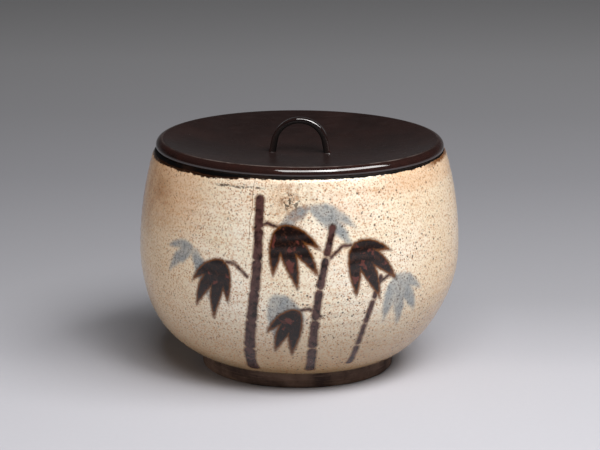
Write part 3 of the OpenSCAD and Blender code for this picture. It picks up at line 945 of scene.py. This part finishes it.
def flankRadius(height):
    if height >= jar["bellyHeight"]:
        return upperCentre[0] + legOf(jar["upperRadius"], height - jar["bellyHeight"])
    if height >= jar["tuckHeight"]:
        return middleCentre[0] + legOf(jar["middleRadius"], height - jar["bellyHeight"])
    return tuckCentre[0] + legOf(jar["tuckRadius"], max(height, brush["lowest"]) - tuckCentre[1])


def onFlank(across, height):
    radius = flankRadius(height)
    angle = across / jar["bellyRadius"]
    return np.array((radius * math.sin(angle), -radius * math.cos(angle), height))


# distance in millimetres from each point of the coat to the nearest stroke, below 0 inside it
def strokeDistance(points, strokes):
    nearest = np.full(len(points), brush["far"])
    for line in strokes:
        for across, height, half in line:
            gap = np.linalg.norm(points - onFlank(across, height), axis=1) - half
            nearest = np.minimum(nearest, gap)
    return nearest


def culmStrokes(culm):
    (x0, z0), (x1, z1) = culm["from"], culm["to"]
    strokes = []
    for joint in range(culm["joints"]):
        line = []
        for i in range(2, brush["culmSteps"] - 1):
            within = i / brush["culmSteps"]
            t = (joint + brush["jointGap"] + (1 - 2 * brush["jointGap"]) * within) / culm["joints"]
            half = culm["half"][0] + (culm["half"][1] - culm["half"][0]) * t
            flare = brush["waist"] + (1 - brush["waist"]) * (2 * within - 1) ** 2
            across = x0 + (x1 - x0) * t + culm["bend"] * math.sin(math.pi * t)
            line.append((across, z0 + (z1 - z0) * t, half * flare))
        strokes.append(line)
    return strokes


def leafStroke(start, direction, length, width):
    line = []
    for i in range(brush["leafSteps"] + 1):
        t = i / brush["leafSteps"]
        turn = math.radians(direction - brush["curl"] * t * math.cos(math.radians(direction)))
        half = width / 2 * (math.sin(math.pi * min(1.0, t ** 0.8)) ** 0.85) * (1 - brush["thinning"] * t)
        across, height = start[0] + length * t * math.cos(turn), start[1] + length * t * math.sin(turn)
        line.append((across, height, max(half, brush["thinnest"])))
    return line


def twigStroke(points):
    line, steps = [], brush["twigSteps"]
    for (x0, z0), (x1, z1) in zip(points, points[1:]):
        line += [(x0 + (x1 - x0) * i / steps, z0 + (z1 - z0) * i / steps, brush["twig"]) for i in range(steps + 1)]
    return line


def paintCoat(piece):
    mesh = piece.data
    places = np.empty(len(mesh.vertices) * 3)
    mesh.vertices.foreach_get("co", places)
    points = places.reshape(-1, 3) / mm
    sprays = {"ironDistance": ironSprays, "washDistance": washSprays}
    strokes = {name: [leafStroke(start, *leaf) for start, leaves in group for leaf in leaves]
               for name, group in sprays.items()}
    strokes["brownDistance"] = [line for culm in culms for line in culmStrokes(culm)] + [twigStroke(t) for t in twigs]
    for name, lines in strokes.items():
        values = strokeDistance(points, lines)
        mesh.attributes.new(name, "FLOAT", "POINT").data.foreach_set("value", values.astype(np.float32))
    print("bamboo painted on the coat")


paintCoat(outerCoat)

# each piece with the solid it stands for, its body and its material slot
places = (
    (jarBody, "stoneware_body", "jar", "stoneware"),
    (outerCoat, "outer_glaze", "jar", "outer_glaze"),
    (innerLining, "inner_glaze", "jar", "inner_glaze"),
    (lidBoard, "lid_board", "lid", "lid_lacquer"),
    (bowHandle, "handle_bow", "lid", "handle_lacquer"),
)
for piece, node, body, slot in places:
    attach(piece, body)
    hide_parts(node)
print("pieces placed on their bodies")

# Stage: a pale sweep, painted darker away from the jar as painted shade
stage = {"near": -2.6, "bend": 1.5, "bendRadius": 0.9, "spacing": 0.06, "top": 2.6, "half": 4.0}
paperLook = {"fibre": 0.04, "roughness": 0.75, "specular": 0.2}
# colour of the paper by its distance along the sweep, in metres: painted shade, palest near the jar, darker towards
# the front and behind it, and nearly black at the top
stageShadeRamp = [
    (-1.0, tint(160, 160, 165)), (-0.5, tint(184, 184, 190)), (-0.25, tint(195, 195, 202)),
    (-0.02, tint(193, 193, 200)), (0.02, tint(186, 186, 193)), (0.14, tint(169, 169, 175)),
    (0.3, tint(164, 164, 170)), (0.5, tint(157, 157, 163)), (0.75, tint(158, 158, 163)),
    (1.02, tint(167, 167, 171)), (1.5, tint(165, 165, 168)), (2.4, tint(150, 150, 153)),
    (3.0, tint(95, 95, 97)), (3.6, tint(45, 45, 46)),
]


def makeStageFinish():
    finish, tree, shader, at = newFinish("paperSweep")
    _, y, z = split(tree, at)
    first, last = stageShadeRamp[0][0], stageShadeRamp[-1][0]
    reach = calc(tree, "DIVIDE", calc(tree, "SUBTRACT", calc(tree, "ADD", y, z), first), last - first)
    ramp = addNode(tree, "ShaderNodeValToRGB", {0: reach})
    stops = ramp.color_ramp.elements
    for place, colour in stageShadeRamp[1:-1]:
        stops.new((place - first) / (last - first)).color = colour
    stops[0].color, stops[-1].color = stageShadeRamp[0][1], stageShadeRamp[-1][1]
    fibre = noise(tree, at, 300.0, 3.0, seed=41.0)
    colour = blend(tree, times(tree, fibre, paperLook["fibre"]), ramp.outputs[0], (0.0, 0.0, 0.0, 1.0))
    plug(tree, shader.inputs["Base Color"], colour)
    shader.inputs["Roughness"].default_value = paperLook["roughness"]
    shader.inputs["Specular IOR Level"].default_value = paperLook["specular"]
    return finish


def makeStage():
    radius = stage["bendRadius"]
    bend = arc((stage["bend"], radius), radius, -90, 0, stage["spacing"])
    line = chain([(stage["near"], 0.0)], bend, [(stage["bend"] + radius, stage["top"])])
    mesh = bpy.data.meshes.new("paperSweep")
    points = [(side * stage["half"], y, z) for y, z in line for side in (-1, 1)]
    faces = [(2 * i, 2 * i + 1, 2 * i + 3, 2 * i + 2) for i in range(len(line) - 1)]
    mesh.from_pydata(points, [], faces)
    mesh.polygons.foreach_set("use_smooth", [True] * len(faces))
    mesh.materials.append(makeStageFinish())
    sweep = bpy.data.objects.new("paperSweep", mesh)
    scene.collection.objects.link(sweep)


makeStage()

# Light: soft boxes high on the right and in front, a weak low one on the left that makes no reflections,
# dim surroundings. Angles are round from the front and up, sizes in metres
lamps = {
    "keyBox": {"angle": 55, "rise": 55, "distance": 1.6, "size": (1.4, 0.7),
               "power": 25.6, "colour": (1.0, 0.99, 0.975), "reflected": True},
    "frontBox": {"angle": 8, "rise": 55, "distance": 1.6, "size": (1.0, 0.7),
                 "power": 15.6, "colour": (1.0, 0.99, 0.975), "reflected": True},
    "fillBox": {"angle": -82, "rise": 9, "distance": 1.6, "size": (2.2, 0.5),
                "power": 4.8, "colour": (1.0, 0.97, 0.93), "reflected": False},
}
lampTarget = Vector((0.0, 0.0, 0.08))
dimLight = {"colour": tint(214, 217, 224), "strength": 0.004}
for name, lamp in lamps.items():
    light = bpy.data.lights.new(name, "AREA")
    light.shape = "RECTANGLE"
    light.size, light.size_y = lamp["size"]
    light.energy = lamp["power"]
    light.color = lamp["colour"]
    holder = bpy.data.objects.new(name, light)
    holder.visible_glossy = lamp["reflected"]
    angle, rise = math.radians(lamp["angle"]), math.radians(lamp["rise"])
    towards = Vector((math.cos(rise) * math.sin(angle), -math.cos(rise) * math.cos(angle), math.sin(rise)))
    holder.location = lampTarget + towards * lamp["distance"]
    holder.rotation_euler = towards.to_track_quat("Z", "Y").to_euler()
    scene.collection.objects.link(holder)
surroundings = bpy.data.worlds.new("dimStudio")
surroundings.use_nodes = True
background = surroundings.node_tree.nodes["Background"]
background.inputs["Color"].default_value = dimLight["colour"]
background.inputs["Strength"].default_value = dimLight["strength"]
scene.world = surroundings

# Camera at the photograph's angle, for a 600 x 450 image
view = {"place": (0.00033, -1.5, 0.45255), "down": 13.81, "roll": 0.0058, "lens": 155.64, "sensor": 36.0}
camera = bpy.data.objects.new("camera", bpy.data.cameras.new("camera"))
camera.data.lens = view["lens"]
camera.data.sensor_width = view["sensor"]
camera.data.sensor_fit = "HORIZONTAL"
pitch = Matrix.Rotation(math.radians(90 - view["down"]), 4, "X")
camera.matrix_world = Matrix.Translation(view["place"]) @ pitch @ Matrix.Rotation(view["roll"], 4, "Z")
scene.collection.objects.link(camera)
scene.camera = camera
scene.view_settings.view_transform = "Standard"
print("stage, light and camera set")
